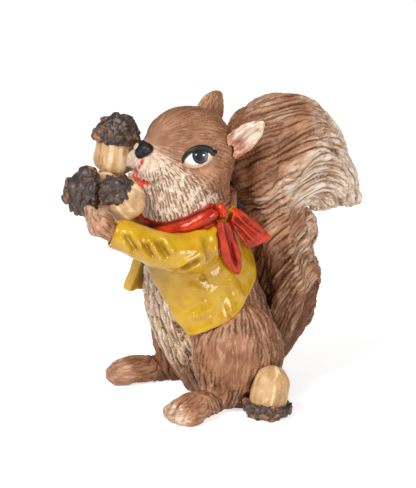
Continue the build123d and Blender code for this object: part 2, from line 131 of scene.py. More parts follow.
def directions(points, x, y, z):
    """A direction at every point, from components that are numbers or one value per point."""
    return np.stack([np.broadcast_to(c, len(points)) for c in (x, y, z)], 1).astype(float)


def search_tree(points):
    """A tree that finds the points near a place."""
    tree = KDTree(len(points))
    for i, point in enumerate(points):
        tree.insert(point, i)
    tree.balance()
    return tree


def add_object(name, data):
    """A new object in the scene."""
    added = bpy.data.objects.new(name, data)
    bpy.context.scene.collection.objects.link(added)
    return added


def line_distance(points, line):
    """Distance of every point from a polyline, and how far along the line it is, from 0 to 1."""
    line = np.asarray(line, float)
    best = np.full(len(points), 1e9)
    along = np.zeros(len(points))
    for i in range(len(line) - 1):
        a, step = line[i], line[i + 1] - line[i]
        t = np.clip((points - a) @ step / (step @ step), 0, 1)
        gap = np.linalg.norm(points - a - t[:, None] * step, axis=1)
        nearer = gap < best
        best[nearer] = gap[nearer]
        along[nearer] = (i + t[nearer]) / (len(line) - 1)
    return best, along


# Volumes: signed distances on a grid, from which smooth meshes are drawn


def node_mesh(name):
    """A CAD node's points in millimetres and its triangles."""
    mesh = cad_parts[name].data
    points = np.empty(len(mesh.vertices) * 3, np.float32)
    mesh.vertices.foreach_get("co", points)
    mesh.calc_loop_triangles()
    triangles = np.empty(len(mesh.loop_triangles) * 3, np.int32)
    mesh.loop_triangles.foreach_get("vertices", triangles)
    return points.reshape(-1, 3) / np.float32(MM), triangles.reshape(-1, 3).astype(np.uint32)


def soft_least(a, b, blend):
    """The lesser of two distances, rounded where they meet."""
    share = np.clip(0.5 + 0.5 * (b - a) / blend, 0, 1)
    return b + (a - b) * share - blend * share * (1 - share)


class Volume:
    """Distances to a surface in millimetres, negative inside, on a grid of cubes."""

    def __init__(self, low, high, voxel):
        self.voxel = voxel
        self.start = np.floor(np.asarray(low) / voxel).astype(int)
        count = np.ceil(np.asarray(high) / voxel).astype(int) - self.start + 1
        self.far = BAND_VOXELS * voxel
        self.depth = np.full(count, self.far, np.float32)
        spans = [(first + np.arange(n)) * voxel for first, n in zip(self.start, count)]
        self.x, self.y, self.z = np.meshgrid(*spans, indexing="ij", sparse=True)

    def node(self, name):
        """The distances to a CAD node."""
        points, triangles = node_mesh(name)
        scale = openvdb.createLinearTransform(voxelSize=self.voxel)
        grid = openvdb.FloatGrid.createLevelSetFromPolygons(
            points, triangles=triangles, transform=scale, halfWidth=BAND_VOXELS
        )
        depth = np.empty(self.depth.shape, np.float32)
        grid.copyToArray(depth, ijk=tuple(int(i) for i in self.start))
        return depth

    def egg(self, centre, radii, axes=None):
        """The distances to an ellipsoid; axes are its three directions as columns."""
        offset = [self.x - centre[0], self.y - centre[1], self.z - centre[2]]
        if axes is not None:
            offset = [sum(axes[k, i] * offset[k] for k in range(3)) for i in range(3)]
        near = np.sqrt(sum((o / r) ** 2 for o, r in zip(offset, radii)))
        slope = np.sqrt(sum((o / r**2) ** 2 for o, r in zip(offset, radii)))
        return near * (near - 1) / np.maximum(slope, 1e-6)

    def rod(self, line, radii):
        """The distances to a round bar along a polyline, with a radius at each point."""
        best = None
        for i in range(len(line) - 1):
            a = np.asarray(line[i], float)
            step = np.asarray(line[i + 1], float) - a
            offset = [self.x - a[0], self.y - a[1], self.z - a[2]]
            t = np.clip(sum(o * s for o, s in zip(offset, step)) / (step @ step), 0, 1)
            gap = np.sqrt(sum((o - t * s) ** 2 for o, s in zip(offset, step)))
            gap = gap - radii[i] - (radii[i + 1] - radii[i]) * t
            best = gap if best is None else np.minimum(best, gap)
        return best

    def add(self, depth, blend=SHARP):
        """Joins a form on, with a rounded seam."""
        self.depth = soft_least(self.depth, depth, blend)

    def cut(self, depth, blend):
        """Takes a form away, with a rounded edge."""
        self.depth = -soft_least(-self.depth, depth, blend)

    def blur(self, rounds):
        """Softens every edge."""
        for _ in range(rounds):
            for axis in range(3):
                d = np.moveaxis(self.depth, axis, 0)
                inner = (d[:-2] + 2 * d[1:-1] + d[2:]) / 4
                d[1:-1] = inner

    def skin(self, blur=0, relax=0):
        """The surface as a mesh of quads, softened before and after it is drawn."""
        self.blur(blur)
        grid = openvdb.FloatGrid(self.far)
        grid.transform = openvdb.createLinearTransform(voxelSize=self.voxel)
        depth = np.clip(self.depth, -self.far, self.far).astype(np.float32)
        grid.copyFromArray(depth, ijk=tuple(int(i) for i in self.start))
        points, _, quads = grid.convertToPolygons()
        skin = Skin(points, quads.astype(np.int64), self.voxel)
        skin.relax(relax)
        return skin


def volume_of(nodes, voxel, blend=SHARP, margin=2.5):
    """The union of CAD nodes as a volume."""
    boxes = [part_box(name) for name in nodes]
    low = np.min([np.array(b[0]) for b in boxes], 0) / MM - margin
    high = np.max([np.array(b[1]) for b in boxes], 0) / MM + margin
    volume = Volume(low, high, voxel)
    for name in nodes:
        volume.add(volume.node(name), blend)
    return volume


def skin_of(node, voxel, blur, relax, margin=2.5):
    """A CAD node as a softened skin."""
    return volume_of([node], voxel, margin=margin).skin(blur, relax)


class Skin:
    """A mesh of quads in millimetres, with named values at its points or the same all over."""

    def __init__(self, points, quads, spacing):
        self.points = points.astype(float)
        self.quads = quads
        self.spacing = spacing
        self.count = len(points)
        self.ends = np.concatenate([quads[:, [i, (i + 1) % 4]] for i in range(4)])
        self.degree = np.maximum(np.bincount(self.ends[:, 0], minlength=self.count), 1)
        self.values = {}

    def total(self, index, values):
        """Sums of values that share a point."""
        return np.bincount(index, values, self.count)

    def spread(self, values, rounds):
        """Values averaged with those of their neighbours, that many times."""
        start, stop = self.ends.T
        columns = values.reshape(self.count, -1)
        for _ in range(rounds):
            near = np.stack([self.total(start, c[stop]) for c in columns.T], 1) / self.degree[:, None]
            columns = 0.5 * columns + 0.5 * near
        return columns.reshape(values.shape)

    def relax(self, rounds):
        """Smooths the surface."""
        self.points = self.spread(self.points, rounds)

    def normals(self):
        """The outward direction at every point."""
        a, b, c, d = (self.points[self.quads[:, i]] for i in range(4))
        face = np.cross(c - a, d - b)
        corners = self.quads.T.ravel()
        faces = np.tile(face, (4, 1))
        return unit(np.stack([self.total(corners, part) for part in faces.T], 1))

    def lookup(self):
        """A grid of cells that gives a point of the surface near any place on it, and the grid's corner."""
        cell = self.spacing * 1.05
        corner = self.points.min(0) - 3 * cell
        index = ((self.points - corner) / cell).astype(int)
        grid = np.full(index.max(0) + 4, -1, np.int32)
        grid[tuple(index.T)] = np.arange(self.count)
        for _ in range(2):
            for axis in range(3):
                for shift in (1, -1):
                    near = np.roll(grid, shift, axis)
                    grid = np.where(grid < 0, near, grid)
        return grid, corner, cell

    def trails(self, flow, reach):
        """The points that lie along a flow from every point, behind it and ahead of it, step by step."""
        normal = self.normals()
        along = unit(flow - normal * (flow * normal).sum(1, keepdims=True))
        grid, corner, cell = self.lookup()
        limit = np.array(grid.shape) - 1
        trails = [np.arange(self.count)]
        for way in (-1, 1):
            at = np.arange(self.count)
            place = self.points.copy()
            for _ in range(round(reach / STREAK_STEP)):
                place = place + way * STREAK_STEP * along[at]
                index = np.clip((place - corner) / cell, 0, limit).astype(int)
                found = grid[tuple(index.T)]
                at = np.where(found < 0, at, found)
                lift = ((place - self.points[at]) * normal[at]).sum(1, keepdims=True)
                place = place - lift * normal[at]
                trails.append(at)
        return trails

    def streaks(self, trails, length, width, seed):
        """Random streaks of that length and width along trails, as heights ranked from 0 to 1."""
        rounds = round((width / self.spacing / 1.5) ** 2)
        grain = self.spread(np.random.default_rng(seed).standard_normal(self.count), rounds)
        half = len(trails) // 2
        steps = min(half, round(length / 2 / STREAK_STEP))
        picked = trails[: 1 + steps] + trails[1 + half : 1 + half + steps]
        total = sum(grain[at] for at in picked)
        rank = np.empty(self.count)
        rank[np.argsort(total)] = np.linspace(0, 1, self.count)
        return rank

    def clumps(self, trails, length, width, seed):
        """Leaf-shaped clumps along trails: 1 along their middles, 0 in the grooves between them."""
        return np.sqrt(np.abs(2 * self.streaks(trails, length, width, seed) - 1))

    def carve(self, trails, spacing, length, width, seed, where=1.0):
        """Tapered grooves along trails, evenly spaced: 1 in the middle of a groove and 0 off it."""
        rng = np.random.default_rng(seed)
        tree = search_tree(self.points)
        half = len(trails) // 2
        behind, ahead = trails[1 : 1 + half], trails[1 + half :]
        taken = bytearray(self.count)
        groove = np.zeros(self.count)
        where = np.broadcast_to(where, self.count)

        def free(point):
            return not taken[point] and where[point] >= LEAST_FUR

        def run(steps, start):
            found = []
            for step in steps[: int(rng.uniform(0.3, 0.6) * length / STREAK_STEP)]:
                if not free(step[start]):
                    break
                found.append(step[start])
            return found

        for start in rng.permutation(self.count):
            if not free(start):
                continue
            index = run(behind, start)[::-1] + [start] + run(ahead, start)
            if len(index) < SHORTEST_STROKE * length / STREAK_STEP:
                continue
            path = self.points[index]
            for _ in range(3):
                path[1:-1] = (path[:-2] + 2 * path[1:-1] + path[2:]) / 4
            taper = np.minimum(1, 1.6 * np.sin(np.pi * (np.arange(len(index)) + 0.5) / len(index)))
            for place, strength in zip(path, taper):
                for _, i, gap in tree.find_range(place, spacing / 2):
                    taken[i] = 1
                    groove[i] = max(groove[i], strength * (1 - gap / width))
        return groove * where

    def push(self, amount):
        """Moves every point outwards by an amount."""
        self.points = self.points + self.normals() * np.asarray(amount).reshape(-1, 1)

    def stand(self):
        """Flattens whatever dips below the ground."""
        self.points[:, 2] = np.maximum(self.points[:, 2], 0.0)

    def crease(self, line, depth, width):
        """Presses a soft crease with raised lips along a polyline; returns its strength."""
        gap, along = line_distance(self.points, line)
        fade = ease(0, 0.2, along) * ease(1, 0.8, along) * 0.85 + 0.15
        pit = np.exp(-((gap / width) ** 2)) * fade
        lips = np.exp(-(((gap - 2 * width) / width) ** 2)) * fade
        self.push(-depth * pit + 0.4 * depth * lips)
        return pit

    def piece(self, name, material, slot, nodes):
        """Makes the Blender object, which stands for those CAD nodes."""
        mesh = bpy.data.meshes.new(name)
        mesh.from_pydata((self.points * MM).tolist(), [], self.quads.tolist(), shade_flat=False)
        mesh.validate()
        for key, values in self.values.items():
            kind, field, shape = "FLOAT", "value", self.count
            if np.ndim(values) == 2:
                kind, field, shape = "FLOAT_VECTOR", "vector", (self.count, 3)
            flat = np.broadcast_to(values, shape).astype(np.float32).ravel()
            mesh.attributes.new(key, kind, "POINT").data.foreach_set(field, flat)
        mesh.materials.append(material)
        piece = add_object(name, mesh)
        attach(piece, "root")
        if nodes:
            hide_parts(*nodes)


# Paints

COAT_ROUGHNESS = 0.12


def paint(red, green, blue):
    """A colour from its screen values, 0 to 255, as linear light."""
    channels = [c / 255 for c in (red, green, blue)]
    return [c / 12.92 if c <= 0.04045 else ((c + 0.055) / 1.055) ** 2.4 for c in channels] + [1.0]


class Paint:
    """A node material, built up layer by layer on one principled shader."""

    def __init__(self, name, roughness, coat=0.0, specular=0.5):
        self.material = bpy.data.materials.new(name)
        self.material.use_nodes = True
        self.nodes = self.material.node_tree.nodes
        self.shader = self.nodes["Principled BSDF"]
        self.fill(self.shader, {
            "Roughness": roughness,
            "Coat Weight": coat,
            "Coat Roughness": COAT_ROUGHNESS,
            "Specular IOR Level": specular,
        })

    def fill(self, node, inputs):
        """Links a node's inputs to sockets or sets them to plain values."""
        for key, value in inputs.items():
            if isinstance(value, bpy.types.NodeSocket):
                self.material.node_tree.links.new(value, node.inputs[key])
            else:
                node.inputs[key].default_value = value

    def node(self, kind, output, inputs, **settings):
        """An output of a new node."""
        node = self.nodes.new("ShaderNode" + kind)
        for key, value in settings.items():
            setattr(node, key, value)
        self.fill(node, inputs)
        return node.outputs[output]

    def value(self, name, output="Fac"):
        """A value stored at the mesh's points."""
        return self.node("Attribute", output, {}, attribute_name=name)

    def noise(self, size_mm, detail=3.0):
        """Cloudy noise with features of about that size."""
        place = self.node("TexCoord", "Object", {})
        return self.node("TexNoise", "Fac", {"Vector": place, "Scale": 1 / size_mm / MM, "Detail": detail})

    def strokes(self, size_mm, detail=2.0):
        """Noise drawn out along the lie of the fur, from the place stored at the mesh's points."""
        place = self.value("lie", "Vector")
        return self.node("TexNoise", "Fac", {"Vector": place, "Scale": 1 / size_mm, "Detail": detail})

    def step(self, value, start, end):
        """A value eased from 0 at start to 1 at end."""
        inputs = {"Value": value, "From Min": start, "From Max": end}
        return self.node("MapRange", "Result", inputs, interpolation_type="SMOOTHSTEP")

    def math(self, operation, a, b):
        """Arithmetic on two values."""
        return self.node("Math", "Value", {0: a, 1: b}, operation=operation)

    def mix(self, share, under, over):
        """One colour laid over another."""
        return self.node("Mix", "Result", {"Factor": share, "A": under, "B": over}, data_type="RGBA")

    def finish(self, colour, bump=None, strength=0.0, distance_mm=0.0):
        """Sets the colour and, where there is any, fine relief."""
        self.fill(self.shader, {"Base Color": colour})
        if bump is not None:
            relief = {"Height": bump, "Strength": strength, "Distance": distance_mm * MM}
            normal = self.node("Bump", "Normal", relief)
            self.fill(self.shader, {"Normal": normal, "Coat Normal": normal})
        return self.material


DARK_WASH = paint(84, 50, 32)
WARM_WASH = paint(132, 92, 64)


def fur_paint():
    """Brown fur with cream fronts, a dark wash in the grooves and pale dry-brushed ridges."""
    p = Paint("painted_fur", 0.5, specular=0.3)
    groove, pale = p.value("groove"), p.value("pale")
    cloud = p.step(p.noise(7.0), 0.35, 0.65)
    fuzz = p.strokes(0.6)
    brown = p.mix(cloud, paint(150, 98, 66), paint(186, 136, 101))
    brown = p.mix(p.value("shade"), brown, paint(106, 62, 38))
    brushed = p.math("MULTIPLY", p.step(p.value("ridge"), 0.5, 1.0), p.step(fuzz, 0.45, 0.65))
    brown = p.mix(p.math("MULTIPLY", brushed, 0.45), brown, paint(214, 174, 142))
    cream = p.mix(p.step(fuzz, 0.38, 0.6), paint(206, 172, 138), paint(234, 220, 204))
    cream = p.mix(p.value("shade"), cream, paint(196, 142, 86))
    patchy = p.math("MULTIPLY", pale, p.step(p.noise(3.0, 2.0), -0.2, 0.6))
    patchy = p.math("MULTIPLY", patchy, p.math("ADD", 0.45, p.step(p.value("ridge"), 0.15, 0.75)))
    patchy = p.math("ADD", patchy, p.math("MULTIPLY", p.math("SUBTRACT", fuzz, 0.5), 0.8))
    patchy = p.math("MULTIPLY", patchy, p.step(pale, 0.02, 0.2))
    share = p.step(patchy, 0.05, 0.95)
    coat = p.mix(share, brown, cream)
    coat = p.mix(p.value("red"), coat, paint(206, 66, 52))
    wash = p.mix(p.math("MULTIPLY", share, 0.8), DARK_WASH, WARM_WASH)
    colour = p.mix(p.math("MULTIPLY", p.step(groove, 0.15, 0.75), 0.85), coat, wash)
    return p.finish(colour, fuzz, 0.6, 0.25)


def gloss_paint(name, light, deep, wash, coat):
    """Glossy enamel that pools darker in places, with a brown wash in its creases; the darkened folds of the
    neckerchief's band are painted shade.
    """
    p = Paint(name, 0.45, coat=coat, specular=0.05)
    pool = p.step(p.noise(5.0), 0.35, 0.65)
    colour = p.mix(pool, light, deep)
    speck = p.step(p.noise(1.1), 0.66, 0.74)
    colour = p.mix(p.math("MULTIPLY", speck, 0.4), colour, wash)
    colour = p.mix(p.value("groove"), colour, wash)
    return p.finish(colour, p.noise(2.6), 0.45, 0.5)


def nut_paint():
    """Tan nutshell streaked along its length."""
    p = Paint("painted_nut", 0.45, specular=0.4)
    streak = p.value("streak")
    colour = p.mix(p.step(p.noise(5.0), 0.35, 0.65), paint(194, 150, 100), paint(214, 176, 130))
    colour = p.mix(p.step(streak, 0.75, 1.0), colour, paint(240, 214, 176))
    colour = p.mix(p.math("MULTIPLY", p.step(streak, 0.25, 0.0), 0.55), colour, paint(150, 104, 58))
    return p.finish(colour, p.noise(0.7, 4.0), 0.25, 0.1)


def cap_paint():
    """Dark brown cap whose proud scales are dry-brushed orange-brown."""
    p = Paint("painted_cap", 0.42)
    colour = p.mix(p.step(p.noise(2.5), 0.35, 0.7), paint(58, 42, 36), paint(92, 72, 62))
    rust = p.math("MULTIPLY", p.value("rust"), p.step(p.noise(1.2), 0.35, 0.6))
    colour = p.mix(rust, colour, paint(184, 112, 62))
    colour = p.mix(p.value("groove"), colour, paint(30, 21, 18))
    return p.finish(colour, p.noise(0.6, 4.0), 0.4, 0.15)


def black_paint():
    """Black gloss with a faint grey wear."""
    p = Paint("painted_black", 0.38, specular=0.35)
    colour = p.mix(p.step(p.noise(1.5), 0.45, 0.8), paint(20, 19, 22), paint(44, 42, 46))
    return p.finish(colour, p.noise(0.8), 0.15, 0.08)


def tooth_paint():
    """Ivory teeth."""
    p = Paint("painted_tooth", 0.4)
    return p.finish(p.mix(p.noise(0.8), paint(196, 170, 140), paint(226, 208, 184)))


def eye_paint():
    """Cream white, beige lower rim, dark oval iris with a grey ring, and two painted glints."""
    p = Paint("painted_eye", 0.3, coat=0.15, specular=0.3)
    white = p.mix(p.noise(1.2), paint(232, 226, 220), paint(246, 243, 238))
    white = p.mix(p.value("rim"), white, paint(206, 182, 152))
    iris = p.value("iris")
    colour = p.mix(p.step(iris, 1.04, 0.98), white, paint(30, 28, 32))
    ring = p.math("MULTIPLY", p.step(iris, 0.88, 0.82), p.step(iris, 0.6, 0.75))
    colour = p.mix(p.math("MULTIPLY", ring, 0.3), colour, paint(84, 90, 106))
    colour = p.mix(p.step(p.value("glint"), 1.0, 0.75), colour, paint(226, 230, 236))
    return p.finish(colour)


FUR = fur_paint()
YELLOW = gloss_paint("yellow_enamel", paint(202, 158, 24), paint(186, 138, 0), paint(104, 74, 18), 1.0)
RED = gloss_paint("red_enamel", paint(204, 56, 14), paint(154, 30, 6), paint(70, 14, 6), 0.6)
NUT = nut_paint()
CAP = cap_paint()
BLACK = black_paint()
TOOTH = tooth_paint()
EYE = eye_paint()


# Body: trunk, haunches and feet run into each other, so they share one carved skin

BODY_NODES = ["torso", "left_haunch", "right_haunch", "left_hind_foot", "right_hind_foot"]

# Hind feet: the heel's place, the splay, and the clefts between the toes as offsets across the foot,
# each with its way along the foot and its height
HEEL_OFFSET, FOOT_SPLAY, RIGHT_FOOT_ADVANCE = 12.0, 20.0, 2.4
TOE_CLEFTS = (-2.6, 0.0, 2.6)
CLEFT_LINE = ((16.5, 7.0), (20.5, 4.9), (24.2, 1.6))
CLEFT_RADII = (0.35, 0.75, 0.8)

# Haunches: their middles, half their width, length and height, and the knee in Y and Z
HAUNCH_OFFSET, HAUNCH_HEIGHT = 14.0, 14.2
HAUNCH_HALVES = (8.0, 13.0, 14.6)
KNEE_Y, KNEE_Z = -5.0, 16.0


def toe_cleft(side, offset):
    """A line from the instep down between two toes."""
    splay = math.radians(FOOT_SPLAY)
    advance = 0.0 if side > 0 else RIGHT_FOOT_ADVANCE
    line = []
    for along, height in CLEFT_LINE:
        x = HEEL_OFFSET + along * math.sin(splay) + offset * math.cos(splay)
        y = offset * math.sin(splay) - along * math.cos(splay) - advance
        line.append((side * x, y, height))
    return line


def body_shares(points):
    """How much each point is foot, toes, haunch, the haunch's fold, knee and belly."""
    x, y, z = points.T
    side = np.abs(x)
    half_width, half_length, half_height = HAUNCH_HALVES
    spot = ((side - HAUNCH_OFFSET) / half_width) ** 2 + (y / half_length) ** 2
    spot = spot + ((z - HAUNCH_HEIGHT) / half_height) ** 2
    foot = ease(9, 5, z) * ease(-10, -15, y)
    toes = foot * ease(-17, -21, y)
    haunch = ease(1.25, 1.05, spot) * ease(11, 13, side) * (1 - foot)
    fold = np.exp(-(((spot - 1.2) / 0.1) ** 2)) * ease(11, 13, side) * ease(4, -2, y)
    knee = haunch * ease(8.5, 4.5, np.hypot(y - KNEE_Y, z - KNEE_Z))
    belly = ease(-3, -12, y) * ease(15.5, 10, side) * ease(4, 16, z) * (1 - haunch)
    return foot, toes, haunch, fold, knee, belly


def body_flow(points, foot, haunch):
    """The lie of the fur: down the haunches, down and back on the trunk, forward on the feet."""
    slope = 0.5 * (1 - haunch) * ease(2, -6, points[:, 1]) - 0.08
    down = directions(points, 0, slope, -1)
    forward = directions(points, 0.36 * np.sign(points[:, 0]), -1, -0.1)
    wander = directions(points, 0.14 * wobble(points, 8.0, 61), 0.14 * wobble(points, 8.0, 62), 0)
    return down + (forward - down) * foot[:, None] + wander


def make_body():
    """The coat of the trunk, the haunches and the feet."""
    volume = volume_of(BODY_NODES, voxel=0.33, blend=1.2)
    volume.blur(2)
    for side in (1, -1):
        for offset in TOE_CLEFTS:
            volume.cut(volume.rod(toe_cleft(side, offset), CLEFT_RADII), blend=0.5)
    skin = volume.skin(relax=2)
    p = skin.points
    x, y, z = p.T
    foot, toes, haunch, fold, knee, belly = body_shares(p)
    trails = skin.trails(body_flow(p, foot, haunch), reach=9)
    tufts = skin.clumps(trails, length=16, width=2.2, seed=2)
    calm = (1 - 0.55 * knee) * (1 - 0.4 * foot) * (1 - 0.6 * toes)
    deep = skin.carve(trails, spacing=1.5, length=14.0, width=0.48, where=calm, seed=1)
    thin = skin.carve(trails, spacing=1.1, length=6.0, width=0.4, where=calm, seed=7)
    cuts = np.maximum(deep, 0.6 * thin)
    skin.push(calm * (0.8 + 1.0 * belly) * (tufts - 0.7) - 0.8 * cuts)
    skin.stand()
    valley = ease(0.45, 0.12, tufts) * calm * np.clip(0.4 + 0.6 * belly + 0.4 * haunch, 0, 1)
    belly_pale = belly * (0.72 + 0.5 * ease(8, 26, z))
    # Toes are painted pale, less on the far foot than the near one; that difference, like far_foot_shade, is
    # painted shade.
    toe_pale_with_far_shade = toes * np.where(x > 0, 0.38, 0.24)
    back_shade = ease(2, 10, y) * 0.8 * (1 - foot) * (1 - 0.5 * haunch)
    trunk_shade = (0.12 + 0.43 * ease(36, 14, z)) * (1 - haunch) * (1 - foot) * (1 - 0.8 * belly * tufts)
    fold_shade = 0.7 * fold * (1 - foot)
    far_foot_shade = 0.22 * foot * (x < 0)
    trunk_lie = directions(p, x, y + 0.45 * (haunch < 0.5) * z, 0.16 * z)
    foot_lie = directions(p, x, 0.13 * y, z)
    skin.values = {
        "ridge": tufts,
        "groove": np.maximum(cuts, valley),
        "pale": np.maximum(belly_pale, toe_pale_with_far_shade + 0.04 * haunch),
        "shade": np.clip(back_shade + trunk_shade + 0.22 * haunch + fold_shade + far_foot_shade, 0, 1),
        "red": 0.0,
        "lie": np.where(foot[:, None] > 0.5, foot_lie, trunk_lie),
    }
    skin.piece("body", FUR, "fur", BODY_NODES)


# Tail: angles about the notch go up from +Y, so the plume's tip is near 0 and the stem past 190

# The plume's tip is drawn out, and the stem is filled out below the notch.
TAIL_TIP = ((0, 35, 53.5), (1, 39.5, 51.2), (2, 41.8, 50.6))
TAIL_TIP_RADII = (3.6, 2.4, 1.0)
STEM_FILL = ((0, 24.6, 43.0), (6.0, 3.5, 5.5))

# The count of angles starts in the open notch.
OPEN_ANGLE = -40


def tail_flow(points, bend):
    """The lie of the fur: round the notch on the plume, bent to a sweep up and back on the stem."""
    x, y, z = points.T
    around = unit(directions(points, 0, z - TAIL_NOTCH[1], TAIL_NOTCH[0] - y))
    sweep = unit(directions(points, 0, z - TAIL_SWEEP[1], TAIL_SWEEP[0] - y))
    sweep[:, 0] = 0.8 * np.sign(x) * ease(24, 6, y) * ease(40, 52, z)
    wander = [share * wobble(points, 18.0, seed) for share, seed in ((0.06, 63), (0.04, 64), (0.04, 65))]
    return around + (sweep - around) * bend + directions(points, *wander)


def make_tail():
    """The plume in carved locks."""
    volume = volume_of(["tail"], voxel=0.34)
    volume.add(volume.rod(TAIL_TIP, TAIL_TIP_RADII), blend=2.5)
    volume.add(volume.egg(*STEM_FILL), blend=2.0)
    skin = volume.skin(blur=6, relax=3)
    p = skin.points
    x, y, z = p.T
    angle = np.degrees(np.arctan2(z - TAIL_NOTCH[1], y - TAIL_NOTCH[0]))
    angle = np.where(angle < OPEN_ANGLE, angle + 360, angle)
    reach = np.hypot(y - TAIL_NOTCH[0], z - TAIL_NOTCH[1])
    shoulder = ease(94, 134, angle) * ease(172, 150, angle)
    fall = ease(104, 64, angle) * ease(35, 50, angle)
    skin.push((3.0 * shoulder - 1.6 * fall) * ease(12, 20, reach))
    bend = ease(75, 125, angle)
    trails = skin.trails(tail_flow(p, bend[:, None]), reach=24)
    locks = skin.clumps(trails, length=40, width=2.6, seed=3)
    deep = skin.carve(trails, spacing=1.7, length=44.0, width=0.5, seed=4)
    thin = skin.carve(trails, spacing=1.05, length=18.0, width=0.4, seed=5)
    cuts = np.maximum(deep, 0.6 * thin)
    skin.push((1.1 + 0.8 * ease(190, 225, angle)) * (locks - 0.62) - 0.8 * cuts + 0.3)
    ragged = ease(40, 12, angle) + ease(190, 215, angle) * ease(20, 27, y)
    skin.push(2.0 * ragged * (skin.streaks(trails, length=14, width=1.4, seed=66) - 0.5))
    skin.stand()
    stem = ease(185, 220, angle)
    rear = ease(12, 21, y)
    rim_light = ease(150, 30, angle + 0.8 * (reach - 20))
    inner_light = 0.7 * ease(26, 9, reach) * ease(200, 120, angle)
    light = np.maximum(rim_light, inner_light) + 0.15 * wobble(p, 14.0, 9)
    top_shade = 0.38 * ease(95, 130, angle) * ease(14, 24, reach)
    sweep_reach = np.hypot(y - TAIL_SWEEP[0], z - TAIL_SWEEP[1])
    strand = reach + (sweep_reach - SWEEP_OFFSET - reach) * bend
    skin.values = {
        "ridge": locks,
        "groove": np.maximum(cuts, 0.6 * ease(0.35, 0.08, locks)),
        "pale": np.clip(0.9 * light * (1 - stem) + 0.46 * rear * ease(14, 50, z) * stem, 0, 1),
        "shade": np.clip((0.8 - 0.42 * rear) * stem + top_shade, 0, 1),
        "red": 0.0,
        "lie": directions(p, x, strand, 1.2 * np.radians(angle)),
    }
    skin.piece("tail_plume", FUR, "fur", ["tail"])


# Head

# In the head's own frame: the nose, the lips, and the pads and the far brow as eggs
NOSE_SPOT = np.array([0.0, -16.0, 2.0])
MOUTH = np.array([(0.2, -15.9, -5.4), (2.2, -15.5, -5.8), (4.2, -14.4, -6.3), (5.5, -12.8, -6.8)])
MOUTH_RADII = (0.5, 0.8, 0.7, 0.25)
LOWER_LIP = np.array([(1.6, -15.6, -5.9), (2.8, -15.1, -6.6), (4.0, -14.5, -7.0)])
PHILTRUM = np.array([(2.6, -16.2, -0.6), (3.0, -15.9, -2.4), (2.8, -15.8, -3.2)])
PHILTRUM_RADII = (0.5, 0.45, 0.5)
MUZZLE_PADS = [
    ((0.4, -14.0, -2.7), (2.7, 2.6, 3.0)),
    ((5.2, -12.9, -3.4), (2.9, 2.8, 2.8)),
    ((1.8, -13.1, -8.0), (3.2, 2.8, 2.2)),
    ((-1.6, -13.2, -5.6), (3.0, 2.8, 3.2)),
]
FAR_BROW = ((-2.8, -4.4, 6.2), (6.2, 6.4, 5.8))
MIRROR = np.array([-1.0, 1.0, 1.0])

# In the figurine's frame: the ruff under the chin, and the hollow beside the nape on the left, as eggs
RUFF = ((0.0, -9.4, 56.6), (12.4, 12.0, 12.4))
NAPE_HOLLOW = (np.array([8.6, 12.0, 56.5]), (11.8, 11.8, 11.0))

# The head's fur closes round the eyes and the nose, this far under their surface.
BEDDING = 0.15


def make_head():
    """The head's fur, which runs back from the nose."""
    volume = volume_of(["head"], voxel=0.3)
    for name in ("left_eye", "right_eye", "nose"):
        volume.add(volume.node(name) + BEDDING, blend=0.4)
    volume.add(volume.egg(*RUFF), blend=1.5)
    volume.add(volume.egg(from_head(FAR_BROW[0]), FAR_BROW[1], HEAD_TURN), blend=3.0)
    for mirror in (1, MIRROR):
        volume.cut(volume.egg(NAPE_HOLLOW[0] * mirror, NAPE_HOLLOW[1]), blend=1.5)
    for centre, radii in MUZZLE_PADS:
        volume.add(volume.egg(from_head(centre), radii, HEAD_TURN), blend=0.8)
    volume.blur(4)
    for line, radii in ((MOUTH, MOUTH_RADII), (MOUTH * MIRROR, MOUTH_RADII), (PHILTRUM, PHILTRUM_RADII)):
        volume.cut(volume.rod(from_head(line), radii), blend=0.5)
    skin = volume.skin(relax=2)
    p = skin.points
    local = to_head(p)
    from_nose = local - NOSE_SPOT
    distance = np.linalg.norm(from_nose, axis=1)
    drop = ease(4, -6, local[:, 2])[:, None] * np.array([0, 0.1, -0.75])
    trails = skin.trails((unit(from_nose) + drop) @ HEAD_TURN.T, reach=4)
    low = ease(2, -6, local[:, 2])
    near_eye = np.minimum(*(np.linalg.norm(local - spot, axis=1) for spot in eye_spots()))
    furred = ease(3.6, 5.6, near_eye) * ease(5.0, 10.0, distance)
    tufts = skin.clumps(trails, length=6.0, width=1.5, seed=6)
    deep = skin.carve(trails, spacing=1.2, length=6.5, width=0.4, where=furred * (0.6 + 0.4 * low), seed=5)
    thin = skin.carve(trails, spacing=0.95, length=3.0, width=0.36, where=furred * (0.5 + 0.5 * low), seed=8)
    cuts = np.maximum(deep, 0.6 * thin)
    skin.push((0.3 + 0.7 * low) * furred * 0.5 * (tufts - 0.6) - 0.5 * cuts)
    philtrum_gap = line_distance(local, PHILTRUM)[0] + 0.3
    lip_gap = line_distance(local, LOWER_LIP)[0] - 0.8
    lips = np.minimum(philtrum_gap, lip_gap)
    cheek = -local[:, 2] * 0.9 - (local[:, 1] + 13.5) * 0.4 + 1.5
    skin.values = {
        "ridge": tufts,
        "groove": np.minimum(1.2 * cuts, 1.0) * ease(0.9, 1.6, lips),
        "pale": 1.05 * ease(-4.0, 4.5, cheek),
        "shade": 0.3 * ease(-2, 6, local[:, 2]),
        "red": ease(1.25, 0.8, lips) * ease(-0.9, -0.2, wobble(p, 1.6, 12)),
        "lie": unit(from_nose) * (22 + 0.3 * distance[:, None]),
    }
    skin.piece("head_fur", FUR, "fur", ["head"])


# Eyes

# The left eye's middle and its directions; the right eye mirrors it, a little deeper
EYE_CENTRE = np.array([13.0, -11.2, 70.2])
EYE_OUT = unit(np.array([0.87, -0.42, 0.26]))
EYE_RIGHT = unit(np.array([0.42, 0.90, 0.05]))
EYE_UP = np.cross(EYE_OUT, EYE_RIGHT)
FAR_EYE_SINK = 0.1

